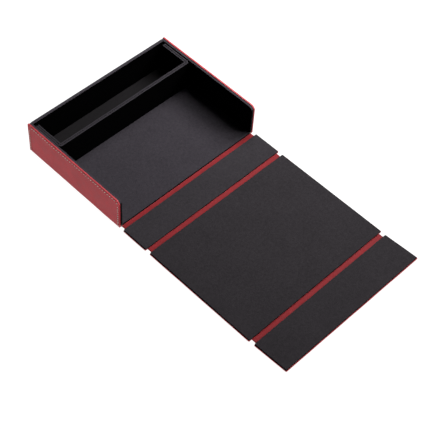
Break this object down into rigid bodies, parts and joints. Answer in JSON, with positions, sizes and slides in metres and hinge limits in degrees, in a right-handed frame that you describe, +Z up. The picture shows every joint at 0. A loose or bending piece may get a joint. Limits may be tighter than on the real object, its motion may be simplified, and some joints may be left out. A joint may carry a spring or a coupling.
{
  "type": "dice storage chest",
  "caption": "Low open-fronted tray with a lift-out divider for dice and a three-panel leather-hinged lid that folds over and closes behind the back wall.",
  "frame": {"origin": "middle of the tray's underside", "axes": "+X to the right seen from the open front, +Y from the open front to the back wall, +Z up; the open lid lies towards -Y"},
  "size_m": [0.2008, 0.3885, 0.0425],
  "materials": {
    "red_leather": "fine-grained bonded leather, satin",
    "black_lining": "short-pile suede-like microfibre, matte",
    "black_cover": "fine-grained, matte",
    "board": "dense grey board, raw",
    "thread": "twisted cream thread",
    "magnet": "nickel-plated"
  },
  "bodies": {
    "tray": {"base_cover": "red_leather", "base_board": "board", "floor_lining": "black_lining", "left_wall_board": "board", "left_wall_lining": "black_lining", "right_wall_board": "board", "right_wall_lining": "black_lining", "back_wall_board": "board", "back_wall_lining": "black_lining", "back_wall_cover": "black_cover", "back_wall_magnets": "magnet", "left_side_backing": "board", "left_side_cover": "red_leather", "left_stitching": "thread", "right_side_backing": "board", "right_side_cover": "red_leather", "right_stitching": "thread", "hinge_strip_front": "red_leather"},
    "divider": {"divider_board": "board", "divider_lining": "black_lining"},
    "front_panel": {"front_panel_cover": "red_leather", "front_panel_board": "board", "front_panel_lining": "black_lining", "hinge_strip_lid": "red_leather"},
    "lid_panel": {"lid_panel_cover": "red_leather", "lid_panel_board": "board", "lid_panel_lining": "black_lining", "hinge_strip_flap": "red_leather"},
    "flap": {"flap_cover": "red_leather", "flap_board": "board", "flap_lining": "black_lining", "flap_magnets": "magnet"}
  },
  "joints": [
    {"name": "front_hinge", "type": "hinge", "parent": "tray", "child": "front_panel", "pos_m": [0, -0.0754, 0.0011], "axis": [-1, 0, 0], "range_deg": [0, 90], "deforming": ["hinge_strip_front"]},
    {"name": "lid_hinge", "type": "hinge", "parent": "front_panel", "child": "lid_panel", "pos_m": [0, -0.1187, 0.0011], "axis": [-1, 0, 0], "range_deg": [0, 90], "deforming": ["hinge_strip_lid"]},
    {"name": "flap_hinge", "type": "hinge", "parent": "lid_panel", "child": "flap", "pos_m": [0, -0.2708, 0.0005], "axis": [-1, 0, 0], "range_deg": [-4, 86], "deforming": ["hinge_strip_flap"]},
    {"name": "divider_lift", "type": "slide", "parent": "tray", "child": "divider", "axis": [0, 0, 1], "range_m": [0, 0.06]}
  ]
}
